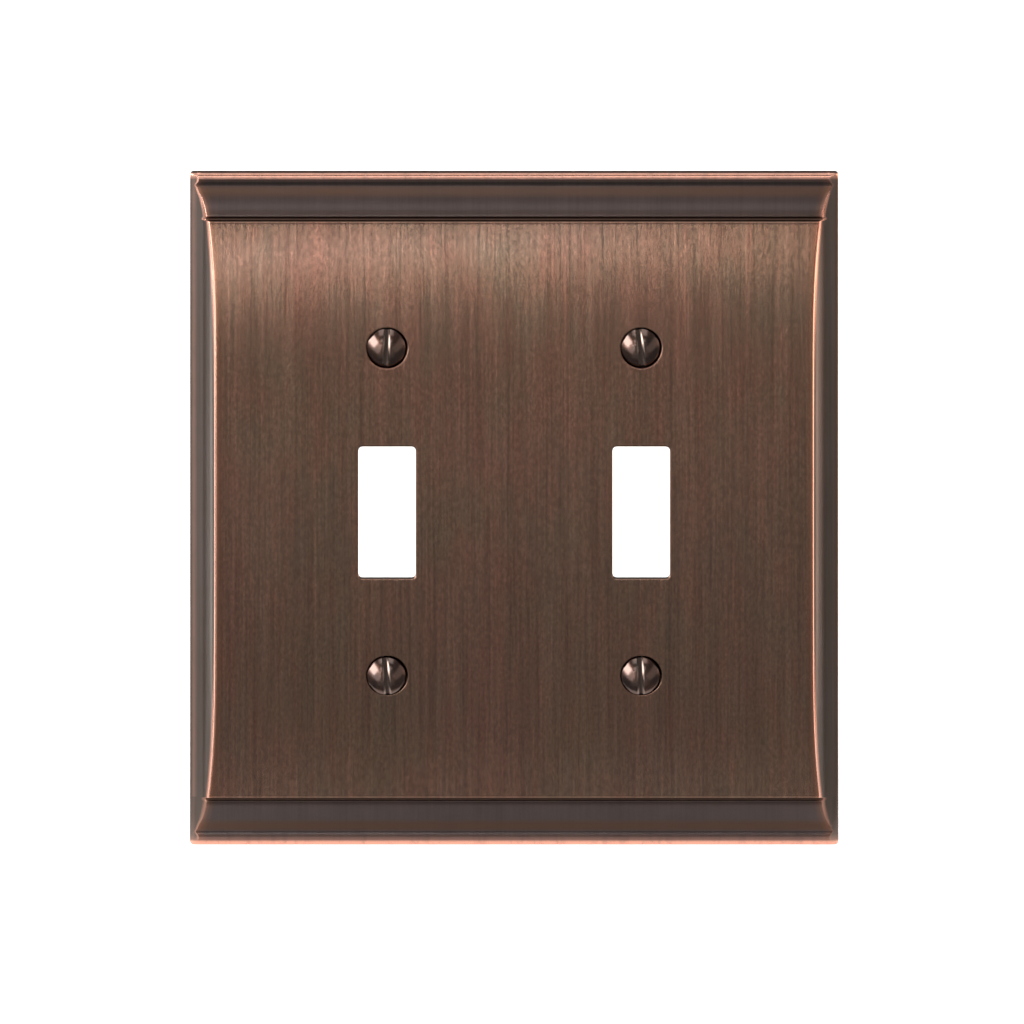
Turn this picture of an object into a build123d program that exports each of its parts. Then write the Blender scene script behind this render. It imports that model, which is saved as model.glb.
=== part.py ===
from build123d import *
import math
import os

# Two-gang toggle switch wall plate: a die-cast metal cover and its four oval-head slotted screws.
#
# Row frame, in millimetres: the plate stands upright as on a wall. +Z is up, +X runs to the right as seen from the
# room, and the room is on the -Y side. Y = 0 is the wall plane, on which the plate's rim lies. The origin is the middle
# of the rectangle of screws, in the wall plane. "Height" below means the distance out of the wall, so y = -height.
#
# The cover's front is one shallow arch from top to bottom. A small step and quirk at each end drop from it to a
# shallow coved band, and outside that a rounded lip. The left and right sides are a low bead and a cove, which cut
# across all of those, so the crest between face and side bends outwards where the front is lower. The back is hollow:
# about 1.7 mm of metal under the face, four screw bosses and one rib between the two gangs.

# ---- outline ------------------------------------------------------------------------------------------------
PLATE_W = 117.5          # X
PLATE_H = 123.8          # Z
CORNER_R = 0.7           # the outline's corners
APEX = 5.9               # height of the face's middle
FACE_END_Z = 53.0        # where the face stops and the step begins
FACE_END = 2.30          # height of the face there

# ---- step, quirk, band and lip at top and bottom ------------------------------------------------------------
QUIRK_Z = 53.42          # outer side of the quirk beside the step
QUIRK_H = 1.62           # the quirk's floor
BAND = [(53.75, 1.86), (54.4, 1.77), (55.3, 1.60), (56.2, 1.42), (57.1, 1.26), (58.0, 1.13), (58.9, 1.03)]
LIP_QUIRK = [(59.30, 0.97), (59.60, 0.98)]
LIP = [(59.95, 1.06), (60.40, 1.10), (60.90, 1.06), (61.40, 0.89), (61.75, 0.63)]
EDGE_H = 0.33            # the plate's thin outer edge
# ---- side profile, (distance in from the outline, height) ---------------------------------------------------
BEAD = [(0.12, 0.60), (0.40, 0.81), (0.80, 0.93), (1.20, 0.99)]
SIDE = [(1.70, 1.12), (2.20, 1.25), (2.60, 1.47), (3.00, 1.82), (3.50, 2.35), (4.00, 3.03), (4.30, 3.70), (4.45, 4.40)]
SIDE_TOP = (4.55, 7.5)
# ---- hollow back --------------------------------------------------------------------------------------------
SKIN = 1.7               # metal under the face
CAVITY_Z = 52.6          # end of the hollow, at the wall plane
CAVITY_KNEE_Z = 49.0
CAVITY_END_H = 0.75
BACK_SIDE = [(3.2, -1.0), (3.2, 0.0), (4.4, 0.45), (5.6, 1.3), (6.15, 2.4), (6.25, 8.0)]
RIB_W = 1.6
RIB_H = 1.8              # the rib's free edge, height off the wall
RIB_END_Z = 36.0
BOSS_R = 4.7
BOSS_END_H = 1.5
# ---- openings -----------------------------------------------------------------------------------------------
GANG = 46.04             # between the two gangs
TOGGLE_W = 10.35
TOGGLE_H = 24.2
TOGGLE_R = 0.75
# ---- screws, 6-32 x 1/2 oval head ---------------------------------------------------------------------------
SCREW_PITCH_Z = 60.33    # between a gang's two screws
BORE_R = 2.0
SEAT_GAP = 0.055         # radial gap between the head's cone and its countersink
COUNTERBORE_R = 3.76
HEAD_R = 3.60
HEAD_EDGE_H = 4.63       # height of the head's edge
HEAD_LAND = 0.15
DOME = 1.15              # how far the oval head rises above its edge
HALF_CONE = math.radians(41.0)
NECK_R = 1.49
THREAD_R = 1.7526
THREAD_START_H = 1.1
SCREW_LENGTH = 12.7
SLOT_W = 1.25
SLOT_DEPTH = 1.45        # from the dome's top
SLOT_ANGLES = {"upper_left": 2.5, "upper_right": -7.5, "lower_left": -4.5, "lower_right": -2.0}

HW, HZ = PLATE_W / 2, PLATE_H / 2
ARCH_R = (FACE_END_Z**2 + (APEX - FACE_END) ** 2) / (2 * (APEX - FACE_END))


def face_h(z):
    return math.sqrt(ARCH_R**2 - z * z) - (ARCH_R - APEX)


def arch(z0, z1, lift=0.0):
    """Three points of the face's circular arch, from z0 to z1, raised by lift."""
    return (z0, face_h(z0) + lift), (0.0, APEX + lift), (z1, face_h(z1) + lift)


def yz(z, h):
    """A point of a profile drawn in the plane X = 0."""
    return (0, -h, z)


def front_section():
    """The section that runs the whole width: arch, step, quirk, band and lip, the same at both ends."""
    out = []
    for s in (1, -1):
        p = lambda z, h: yz(s * z, h)
        step = [(FACE_END_Z, FACE_END), (FACE_END_Z + 0.10, QUIRK_H), (QUIRK_Z, QUIRK_H), BAND[0]]
        groove = [BAND[-1], *LIP_QUIRK, LIP[0]]
        out += [Line(p(*a), p(*b)) for a, b in zip(step, step[1:])]
        out.append(Spline(*[p(*q) for q in BAND]))
        out += [Line(p(*a), p(*b)) for a, b in zip(groove, groove[1:])]
        out.append(Spline(*[p(*q) for q in [*LIP, (HZ, EDGE_H)]]))
        out.append(Line(p(HZ, EDGE_H), p(HZ, 0)))
    a, b, c = arch(-FACE_END_Z, FACE_END_Z)
    out.append(ThreePointArc(yz(*a), yz(*b), yz(*c)))
    out.append(Line(yz(HZ, 0), yz(-HZ, 0)))
    return make_face(out)


def side_section():
    """The section that runs the whole height: a bead and a rising cove on each side, open above the face."""
    out = []
    for s in (1, -1):
        p = lambda d, h: (s * (HW - d), -h, 0)
        out += [
            Line(p(0, 0), p(0, EDGE_H)),
            Spline(*[p(*q) for q in [(0, EDGE_H), *BEAD, *SIDE]]),
            Line(p(*SIDE[-1]), p(*SIDE_TOP)),
        ]
    out.append(Line((HW - SIDE_TOP[0], -SIDE_TOP[1], 0), (-HW + SIDE_TOP[0], -SIDE_TOP[1], 0)))
    out.append(Line((HW, 0, 0), (-HW, 0, 0)))
    return make_face(out)


def cavity():
    ends = [arch(-CAVITY_KNEE_Z, CAVITY_KNEE_Z, -SKIN)]
    a, b, c = ends[0]
    section = make_face(
        [
            ThreePointArc(yz(*a), yz(*b), yz(*c)),
            Line(yz(*c), yz(CAVITY_Z - 0.6, CAVITY_END_H)),
            Line(yz(CAVITY_Z - 0.6, CAVITY_END_H), yz(CAVITY_Z, -1)),
            Line(yz(CAVITY_Z, -1), yz(-CAVITY_Z, -1)),
            Line(yz(-CAVITY_Z, -1), yz(-CAVITY_Z + 0.6, CAVITY_END_H)),
            Line(yz(-CAVITY_Z + 0.6, CAVITY_END_H), yz(*a)),
        ]
    )
    along = extrude(section, amount=PLATE_W / 2, dir=(1, 0, 0), both=True)
    right = [(HW - d, -h, 0) for d, h in BACK_SIDE]
    left = [(-x, y, z) for x, y, z in reversed(right)]
    across = extrude(make_face(Polyline(*right, *left, close=True)), amount=PLATE_H / 2, dir=(0, 0, 1), both=True)
    return along & across


def rib():
    """Stiffening rib along the middle of the back, following the arch, its free edge off the wall."""
    a, b, c = arch(-RIB_END_Z, RIB_END_Z, -SKIN + 0.5)
    section = make_face(
        [
            ThreePointArc(yz(*a), yz(*b), yz(*c)),
            Line(yz(*c), yz(RIB_END_Z, RIB_H)),
            Line(yz(RIB_END_Z, RIB_H), yz(-RIB_END_Z, RIB_H)),
            Line(yz(-RIB_END_Z, RIB_H), yz(*a)),
        ]
    )
    return extrude(section, amount=RIB_W / 2, dir=(1, 0, 0), both=True)


def rod(r, h0, h1, x, z):
    """A round bar along Y from height h0 to h1."""
    return extrude(Plane(origin=(x, -h0, z), z_dir=(0, -1, 0)) * Circle(r), amount=h1 - h0)


def countersink(x, z):
    """Everything taken out for one screw: bore, cone and counterbore."""
    cone_foot = HEAD_EDGE_H - HEAD_LAND - (HEAD_R - NECK_R) / math.tan(HALF_CONE)
    h_of = lambda r: cone_foot + (r - NECK_R - SEAT_GAP) / math.tan(HALF_CONE)
    pts = [
        (0, -1), (BORE_R, -1), (BORE_R, h_of(BORE_R)), (COUNTERBORE_R, h_of(COUNTERBORE_R)), (COUNTERBORE_R, 9), (0, 9)
    ]
    ring = make_face(Polyline(*[(r, -h, 0) for r, h in pts], close=True))
    return Pos(x, 0, z) * revolve(ring, Axis.Y, 360)


def cover():
    body = extrude(front_section(), amount=PLATE_W / 2, dir=(1, 0, 0), both=True)
    body &= extrude(side_section(), amount=PLATE_H / 2, dir=(0, 0, 1), both=True)
    outline = Plane.XZ * RectangleRounded(PLATE_W, PLATE_H, CORNER_R)
    body &= extrude(outline, amount=20, both=True)
    body -= cavity()
    posts = [rod(BOSS_R, BOSS_END_H, face_h(SCREW_PITCH_Z / 2) - 0.8 * SKIN, x, z) for x, z in screw_places().values()]
    for piece in posts:
        body += piece
    body += rib()
    for gx in (-GANG / 2, GANG / 2):
        hole = Plane(origin=(gx, 0, 0), x_dir=(1, 0, 0), z_dir=(0, -1, 0)) * RectangleRounded(TOGGLE_W, TOGGLE_H, TOGGLE_R)
        body -= extrude(hole, amount=20, both=True)
    for x, z in screw_places().values():
        body -= countersink(x, z)
    return body


def screw_places():
    return {
        "upper_left": (-GANG / 2, SCREW_PITCH_Z / 2),
        "upper_right": (GANG / 2, SCREW_PITCH_Z / 2),
        "lower_left": (-GANG / 2, -SCREW_PITCH_Z / 2),
        "lower_right": (GANG / 2, -SCREW_PITCH_Z / 2),
    }


def screw(x, z, slot_angle):
    tip_h = HEAD_EDGE_H - SCREW_LENGTH
    cone_foot = HEAD_EDGE_H - HEAD_LAND - (HEAD_R - NECK_R) / math.tan(HALF_CONE)
    dome_top = HEAD_EDGE_H + DOME
    dome_r = (HEAD_R**2 + DOME**2) / (2 * DOME)
    a = math.asin(HEAD_R / dome_r) / 2
    mid = (dome_r * math.sin(a), dome_top - dome_r * (1 - math.cos(a)))
    p = lambda r, h: (r, -h, 0)
    section = make_face(
        [
            Line(p(0, tip_h), p(THREAD_R - 0.45, tip_h)),
            Line(p(THREAD_R - 0.45, tip_h), p(THREAD_R, tip_h + 0.45)),
            Line(p(THREAD_R, tip_h + 0.45), p(THREAD_R, THREAD_START_H)),
            Line(p(THREAD_R, THREAD_START_H), p(NECK_R, THREAD_START_H + 0.25)),
            Line(p(NECK_R, THREAD_START_H + 0.25), p(NECK_R, cone_foot)),
            Line(p(NECK_R, cone_foot), p(HEAD_R, HEAD_EDGE_H - HEAD_LAND)),
            Line(p(HEAD_R, HEAD_EDGE_H - HEAD_LAND), p(HEAD_R, HEAD_EDGE_H)),
            ThreePointArc(p(HEAD_R, HEAD_EDGE_H), p(*mid), p(0, dome_top)),
            Line(p(0, dome_top), p(0, tip_h)),
        ]
    )
    body = revolve(section, Axis.Y, 360)
    cut = Pos(0, -(dome_top - SLOT_DEPTH + 3), 0) * Box(SLOT_W, 6, 4 * HEAD_R)
    body -= Rot(0, slot_angle, 0) * cut
    return Pos(x, 0, z) * body


def main():
    os.makedirs("parts", exist_ok=True)
    plate = cover()
    solids = plate.solids()
    print("cover solids", len(solids), "volume cm3", round(sum(s.volume for s in solids) / 1000, 3))
    export_step(Compound(children=list(solids)) if len(solids) > 1 else solids[0], "parts/cover_plate.step")
    for name, (x, z) in screw_places().items():
        s = screw(x, z, SLOT_ANGLES[name])
        export_step(s.solids()[0], f"parts/screw_{name}.step")
        print("screw", name, len(s.solids()), round(s.volume, 2), "mm3")


main()
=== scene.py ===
import math

import bpy
import numpy as np
from mathutils import Matrix, Vector


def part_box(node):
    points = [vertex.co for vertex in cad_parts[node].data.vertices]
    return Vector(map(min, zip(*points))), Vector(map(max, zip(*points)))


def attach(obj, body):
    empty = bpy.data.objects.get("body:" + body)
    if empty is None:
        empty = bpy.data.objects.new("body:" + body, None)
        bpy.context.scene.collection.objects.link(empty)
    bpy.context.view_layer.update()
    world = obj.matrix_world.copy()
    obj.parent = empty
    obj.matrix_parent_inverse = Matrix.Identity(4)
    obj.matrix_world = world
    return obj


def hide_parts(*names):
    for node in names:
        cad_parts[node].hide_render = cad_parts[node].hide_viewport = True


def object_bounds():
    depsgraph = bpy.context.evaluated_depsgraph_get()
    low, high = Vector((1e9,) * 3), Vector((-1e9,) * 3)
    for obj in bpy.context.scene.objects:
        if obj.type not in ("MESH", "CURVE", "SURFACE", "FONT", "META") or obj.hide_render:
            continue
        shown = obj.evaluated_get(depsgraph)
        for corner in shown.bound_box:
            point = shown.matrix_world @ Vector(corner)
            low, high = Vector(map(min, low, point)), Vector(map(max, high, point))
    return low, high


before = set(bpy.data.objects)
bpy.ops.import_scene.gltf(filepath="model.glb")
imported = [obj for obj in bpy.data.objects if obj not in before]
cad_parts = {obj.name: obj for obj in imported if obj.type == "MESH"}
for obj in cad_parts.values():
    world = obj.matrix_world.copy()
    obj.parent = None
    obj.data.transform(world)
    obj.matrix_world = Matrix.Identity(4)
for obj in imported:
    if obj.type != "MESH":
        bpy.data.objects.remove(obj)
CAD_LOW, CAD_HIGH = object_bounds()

# Everything below is worked out in millimetres and written to the meshes in metres. "h" is the distance out of the
# wall, so y = -h. "d" is the distance in from the plate's left or right outline.

MM = 0.001

# ------------------------------------------------------------------------------------------------ plate dimensions
lo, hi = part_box("cover_plate")
HW = (hi.x - lo.x) / 2 / MM
HZ = (hi.z - lo.z) / 2 / MM
APEX = -lo.y / MM
FACE_END_Z, FACE_END = 53.0, 2.30
QUIRK_Z, QUIRK_H = 53.42, 1.62
BAND = [(53.75, 1.86), (54.4, 1.77), (55.3, 1.60), (56.2, 1.42), (57.1, 1.26), (58.0, 1.13), (58.9, 1.03)]
GROOVE = [(59.30, 0.97), (59.60, 0.98)]
LIP = [(59.95, 1.06), (60.40, 1.10), (60.90, 1.06), (61.40, 0.89), (61.75, 0.63)]
EDGE_H = 0.33
BEAD = [(0.12, 0.60), (0.40, 0.81), (0.80, 0.93), (1.20, 0.99)]
SIDE = [(1.70, 1.12), (2.20, 1.25), (2.60, 1.47), (3.00, 1.82), (3.50, 2.35), (4.00, 3.03), (4.30, 3.70), (4.45, 4.40)]
SIDE_TOP = (4.55, 7.5)
CORNER_R = 0.7
SKIN = 1.7
BORE_R, BOSS_R, BOSS_END_H = 2.0, 4.7, 1.5
COUNTERBORE_R, SEAT_GAP = 3.76, 0.055
RIB_W, RIB_H, RIB_END_Z = 1.6, 1.8, 36.0
TOGGLE_W, TOGGLE_H, TOGGLE_R = 10.35, 24.2, 0.75
HEAD_R, HEAD_LAND, DOME, NECK_R, THREAD_R = 3.60, 0.15, 1.15, 1.49, 1.7526
SLOT_W, SLOT_DEPTH = 1.25, 1.45
SLOT_ANGLES = {"upper_left": 2.5, "upper_right": -7.5, "lower_left": -4.5, "lower_right": -2.0}
HALF_CONE = math.radians(41.0)
THREAD_START_H, PITCH = 1.1, 25.4 / 32
ARCH_R = (FACE_END_Z**2 + (APEX - FACE_END) ** 2) / (2 * (APEX - FACE_END))

screw_boxes = {k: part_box("screw_" + k) for k in SLOT_ANGLES}
SCREW_AT = {k: ((a.x + b.x) / 2 / MM, (a.z + b.z) / 2 / MM) for k, (a, b) in screw_boxes.items()}
GANG_X = (SCREW_AT["upper_right"][0] - SCREW_AT["upper_left"][0]) / 2
SCREW_Z = (SCREW_AT["upper_left"][1] - SCREW_AT["lower_left"][1]) / 2
TIP_H = -max(b.y for a, b in screw_boxes.values()) / MM
HEAD_EDGE_H = 4.63
DOME_TOP = HEAD_EDGE_H + DOME
CONE_FOOT = HEAD_EDGE_H - HEAD_LAND - (HEAD_R - NECK_R) / math.tan(HALF_CONE)


# ------------------------------------------------------------------------------------------------ curves
def natural_spline(points, per_span):
    """Points along a smooth curve through the given ones."""
    p = np.array(points, float)
    t = np.r_[0, np.cumsum(np.hypot(*np.diff(p, axis=0).T))]
    n = len(p)
    a = np.zeros((n, n))
    r = np.zeros((n, 2))
    a[0, 0] = a[-1, -1] = 1
    dt = np.diff(t)
    for i in range(1, n - 1):
        a[i, i - 1 : i + 2] = dt[i - 1], 2 * (dt[i - 1] + dt[i]), dt[i]
        r[i] = 6 * ((p[i + 1] - p[i]) / dt[i] - (p[i] - p[i - 1]) / dt[i - 1])
    m = np.linalg.solve(a, r)
    out = []
    for i in range(n - 1):
        for k in range(per_span):
            u = t[i] + dt[i] * k / per_span
            A, B = (t[i + 1] - u) / dt[i], (u - t[i]) / dt[i]
            out.append(
                A * p[i] + B * p[i + 1] + ((A**3 - A) * m[i] + (B**3 - B) * m[i + 1]) * dt[i] ** 2 / 6
            )
    out.append(p[-1])
    return np.array(out)


def round_corners(points, radii, seg=5):
    """A polyline with an arc of the given radius at each inner point."""
    p = [np.array(q, float) for q in points]
    out = [p[0]]
    for i in range(1, len(p) - 1):
        r = radii[i]
        a, b = p[i - 1] - p[i], p[i + 1] - p[i]
        la, lb = np.linalg.norm(a), np.linalg.norm(b)
        a, b = a / la, b / lb
        turn = math.acos(max(-1, min(1, float(a @ b))))
        if r <= 0 or turn > math.pi - 0.02:
            out.append(p[i])
            continue
        reach = min(r / math.tan(turn / 2), 0.45 * la, 0.45 * lb)
        r = reach * math.tan(turn / 2)
        c = p[i] + (a + b) / np.linalg.norm(a + b) * (r / math.sin(turn / 2))
        s, e = p[i] + a * reach - c, p[i] + b * reach - c
        sweep = math.pi - turn
        for k in range(seg + 1):
            f = k / seg
            q = (s * math.sin((1 - f) * sweep) + e * math.sin(f * sweep)) / math.sin(sweep)
            out.append(c + q)
    out.append(p[-1])
    return np.array(out)


def face_h(z):
    return np.sqrt(ARCH_R**2 - np.asarray(z, float) ** 2) - (ARCH_R - APEX)


# the end region of the front's section, from inside the face's end to the outline
band = natural_spline(BAND, 2)
lip = natural_spline([*LIP, (HZ, EDGE_H)], 3)
lead = [(z, float(face_h(z))) for z in (51.2, 51.9, 52.4)]
end_points = [*lead, (FACE_END_Z, FACE_END), (FACE_END_Z + 0.10, QUIRK_H), (QUIRK_Z, QUIRK_H), *map(tuple, band), *GROOVE, *map(tuple, lip)]
radii = [0.0] * len(end_points)
radii[3], radii[4], radii[5], radii[6] = 0.24, 0.10, 0.12, 0.16
k = 6 + len(band)
radii[k], radii[k + 1] = 0.25, 0.25
END = round_corners(end_points, radii, 4)
keep = [0] + [i for i in range(1, len(END)) if END[i][0] > END[i - 1][0] + 0.004]
END = END[keep]
END[-1] = (HZ, EDGE_H)

# the side profile
side = natural_spline([(0, EDGE_H), *BEAD, *SIDE], 14)
side = np.vstack([side, [[SIDE[-1][0] + (SIDE_TOP[0] - SIDE[-1][0]) * f, SIDE[-1][1] + (SIDE_TOP[1] - SIDE[-1][1]) * f] for f in np.linspace(0.05, 1, 20)]])
side[:, 0] = np.maximum.accumulate(side[:, 0] + np.arange(len(side)) * 1e-6)
S_D, S_H = side.T
tangent = np.gradient(side, axis=0)
tangent /= np.linalg.norm(tangent, axis=1)[:, None]
S_ND, S_NH = tangent[:, 1], -tangent[:, 0]  # into the metal
S_T = np.r_[0, np.cumsum(np.hypot(*np.diff(side, axis=0).T))]
CREST_R = 0.42
N_SIDE, N_ARC = 24, 7
FLAT_D = 9.0


def side_section(F, z):
    """The cross-section at one height: (d, h, wear) from the outline's top edge to where the flat face begins."""
    room = F - EDGE_H
    r = min(CREST_R, 0.42 * room)
    off_h = S_H + r * S_NH
    off_h = np.maximum.accumulate(off_h)
    t = np.interp(F - r, off_h, S_T)
    p = np.array([np.interp(t, S_T, S_D), np.interp(t, S_T, S_H)])
    n = np.array([np.interp(t, S_T, S_ND), np.interp(t, S_T, S_NH)])
    n /= max(1e-9, np.linalg.norm(n))
    c = p + r * n
    c[1] = F - r
    # distances along the side, closer together near the bead and the crest
    u = np.linspace(0, 1, N_SIDE)
    u = u - 0.10 * np.sin(2 * np.pi * u) / (2 * np.pi) * 2
    ts = u * t
    d = np.interp(ts, S_T, S_D)
    h = np.interp(ts, S_T, S_H)
    a0 = math.atan2(-n[1], -n[0])
    a1 = math.pi / 2
    ang = np.linspace(a0, a1, N_ARC + 1)[1:]
    if r > 1e-6:
        d = np.r_[d, c[0] + r * np.cos(ang)]
        h = np.r_[h, c[1] + r * np.sin(ang)]
    else:
        d = np.r_[d, np.full(N_ARC, c[0])]
        h = np.r_[h, np.full(N_ARC, F)]
    # near the plate's corners the columns would crowd together: keep them apart
    w = min(1.0, max(0.0, (abs(z) - 60.6) / 1.0))
    if w > 0:
        exact_d, exact_h = np.r_[d, 20.0], np.r_[h, F]
        even = np.linspace(0, 1.0, len(d)) ** 1.0 * 2.2
        exact_d = np.maximum.accumulate(exact_d + np.arange(len(exact_d)) * 1e-7)
        d = d * (1 - w) + np.maximum(d, even) * w
        for k in range(1, len(d)):
            d[k] = max(d[k], d[k - 1] + 0.015 * w)
        h = np.interp(d, exact_d, exact_h)
    wear = np.zeros(len(d))
    arc = np.linspace(0, 1, N_ARC + 1)
    wear[N_SIDE - 1 :] = np.clip(1.55 - 1.40 * arc, 0, 1)
    wear[N_SIDE - 5 : N_SIDE - 1] = (0.15, 0.4, 0.7, 0.95)
    # a pale band on the outline's bead: partly wear, partly painted highlight of the lit left side (the right side's
    # is dimmed below)
    wear = np.maximum(wear, 0.22 * np.clip(1 - np.abs(d - 0.75) / 0.65, 0, 1))
    return d, np.minimum(h, F), wear


# ------------------------------------------------------------------------------------------------ rows and columns
def spread(a, b, step):
    n = max(1, int(round(abs(b - a) / step)))
    return list(np.linspace(a, b, n + 1))


PATCH, OPEN_W, OPEN_H = 5.0, 8.0, 15.0
FINE, COARSE = 0.625, 1.0
half_rows = (
    spread(0, OPEN_H, COARSE)
    + spread(OPEN_H, SCREW_Z - PATCH, 1.1)[1:]
    + spread(SCREW_Z - PATCH, SCREW_Z + PATCH, FINE)[1:]
    + spread(SCREW_Z + PATCH, 51.2, 0.9)[1:]
)
core_rows = half_rows[:-1]
row_z = np.array([-z for z in reversed([*core_rows, *END[:, 0]])] + [*core_rows[1:], *END[:, 0]])
row_h = np.array([h for h in reversed([*face_h(core_rows), *END[:, 1]])] + [*face_h(core_rows[1:]), *END[:, 1]])
half_cols = (
    [0, RIB_W / 2, RIB_W / 2 + 0.12]
    + spread(RIB_W / 2 + 0.12, GANG_X - OPEN_W, 1.1)[1:]
    + spread(GANG_X - OPEN_W, GANG_X - PATCH, COARSE)[1:]
    + spread(GANG_X - PATCH, GANG_X + PATCH, FINE)[1:]
    + spread(GANG_X + PATCH, GANG_X + OPEN_W, COARSE)[1:]
    + spread(GANG_X + OPEN_W, HW - FLAT_D, 1.1)[1:]
)
half_cols = np.array(half_cols)
core_x = np.r_[-half_cols[:0:-1], half_cols]
# between the crest and the flat face: a few more columns
N_JOIN = 6
n_edge = N_SIDE + N_ARC  # columns of one side's section
NR, NC = len(row_z), len(core_x) + 2 * (n_edge + N_JOIN - 1)

front_x = np.zeros((NR, NC))
front_h = np.zeros((NR, NC))
wear = np.zeros((NR, NC))
halo = np.zeros((NR, NC))
flank = np.zeros((NR, NC))
flank[:, : N_SIDE + 1] = flank[:, -N_SIDE - 1 :] = 1.0
for i in range(NR):
    d, h, w = side_section(row_h[i], row_z[i])
    join = d[-1] + (FLAT_D - d[-1]) * (np.linspace(0, 1, N_JOIN + 1)[1:-1] ** 1.35)
    dd = np.r_[d, join]
    hh = np.r_[h, np.full(N_JOIN - 1, row_h[i])]
    ww = np.r_[w, np.zeros(N_JOIN - 1)]
    crest = d[N_SIDE]
    hl = np.exp(-(((np.maximum(dd, crest) - crest) / 0.95) ** 2)) * (dd > d[N_SIDE - 5])
    if abs(row_z[i]) > FACE_END_Z:
        hl = hl * 0.35
        # partly painted highlight: in the end bands the crest's copper spreads onto the side, stays strong at the top
        # and is cut to 30% at the bottom
        ww[N_SIDE - 6 : N_SIDE - 1] = np.maximum(ww[N_SIDE - 6 : N_SIDE - 1], (0.4, 0.7, 0.9, 1.0, 1.0))
        ww[5:] *= 0.30 if row_z[i] < 0 else 0.95
    front_x[i] = np.r_[-HW + dd, core_x, (HW - dd)[::-1]]
    front_h[i] = np.r_[hh, np.full(len(core_x), row_h[i]), hh[::-1]]
    # painted shade: on the right side the pale wear within 1.6 mm of the outline is cut to 15%, so that rim reads
    # darker than the left
    wear_shaded_on_right = ww.copy()
    wear_shaded_on_right[dd < 1.6] *= 0.15
    wear[i] = np.r_[ww, np.zeros(len(core_x)), wear_shaded_on_right[::-1]]
    halo[i] = np.r_[hl, np.zeros(len(core_x)), hl[::-1]]
front_z = np.repeat(row_z[:, None], NC, 1)


def roof(z, d):
    """Height of the back's surface off the wall plane: the hollow, without its bosses and rib."""
    z, d = np.abs(z), np.asarray(d, float)
    ends = np.interp(z, [48.2, 48.6, 49.0, 49.5, 50.2, 51.2, 51.7, 52.0, 52.3, 52.55, 52.7],
                     [face_h(48.2) - SKIN, face_h(48.6) - SKIN + 0.004, 1.09, 1.03, 0.95, 0.84, 0.78, 0.68, 0.42, 0.10, 0.0])
    arch = face_h(np.minimum(z, 52.0)) - SKIN
    a = np.where(z < 48.2, arch, ends)
    b = np.interp(d, [3.2, 3.3, 4.4, 5.0, 5.6, 5.9, 6.1, 6.18, 6.25], [0, 0.02, 0.45, 0.86, 1.3, 1.75, 2.3, 3.0, 8.0])
    k = 0.25
    return np.maximum(0, np.minimum(a, b) - np.maximum(k - np.abs(a - b), 0) ** 2 / (4 * k) * (np.minimum(a, b) > 0.3))


# the back: the same rows and columns, moved to where the hollow's features are
n_end = len(END)
back_knots_z = np.r_[
    np.linspace(48.4, 50.4, 8), np.linspace(50.9, 52.0, 5), np.linspace(52.15, 52.8, 7), np.linspace(53.4, HZ, n_end - 20)
]
# rows just inside the end region run up to 48.4 at the back
core_back = [z if z < 44 else 44 + (z - 44) * (48.1 - 44) / (core_rows[-1] - 44) for z in core_rows]
brow_z = np.array([-z for z in reversed([*core_back, *back_knots_z])] + [*core_back[1:], *back_knots_z])
n_side_cols = n_edge + N_JOIN - 1
back_d = np.interp(
    np.linspace(0, 1, n_side_cols), [0, 0.12, 0.2, 0.3, 0.45, 0.6, 0.75, 0.9, 1.0], [0, 2.2, 3.1, 3.45, 4.4, 5.6, 6.1, 6.5, 8.3]
)
back_x = np.repeat(np.r_[-HW + back_d, core_x, (HW - back_d)[::-1]][None], NR, 0)
back_z = np.repeat(brow_z[:, None], NC, 1)
# at the outline, front and back share their edge
edge_w = np.clip(1 - back_d / 2.0, 0, 1)
edge_w = np.r_[edge_w, np.zeros(len(core_x)), edge_w[::-1]]
back_z = back_z * (1 - edge_w) + front_z * edge_w
row_w = np.clip((np.abs(brow_z) - 59.5) / (HZ - 59.5), 0, 1)
end_x = np.where(row_z < 0, -1, 1)
back_x = back_x * (1 - row_w[:, None]) + np.where(end_x[:, None] < 0, front_x[0][None], front_x[-1][None]) * row_w[:, None]
back_h = roof(back_z, HW - np.abs(back_x))
is_rib = (np.abs(back_x) < RIB_W / 2 + 1e-6) & (np.abs(back_z) <= RIB_END_Z)
back_h = np.where(is_rib, np.minimum(back_h, RIB_H), back_h)


def corner(x, z):
    """Rounds the outline's corners by drawing each corner's square of points into a quarter disc."""
    x, z = np.array(x, float), np.array(z, float)
    vx = np.abs(x) - (HW - CORNER_R)
    vz = np.abs(z) - (HZ - CORNER_R)
    inside = (vx > 0) & (vz > 0)
    big = np.maximum(vx, vz)
    length = np.hypot(vx, vz)
    f = np.where(inside & (length > 0), big / np.where(length > 0, length, 1), 1)
    nx = np.where(inside, np.sign(x) * (HW - CORNER_R + vx * f), x)
    nz = np.where(inside, np.sign(z) * (HZ - CORNER_R + vz * f), z)
    return nx, nz


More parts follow.
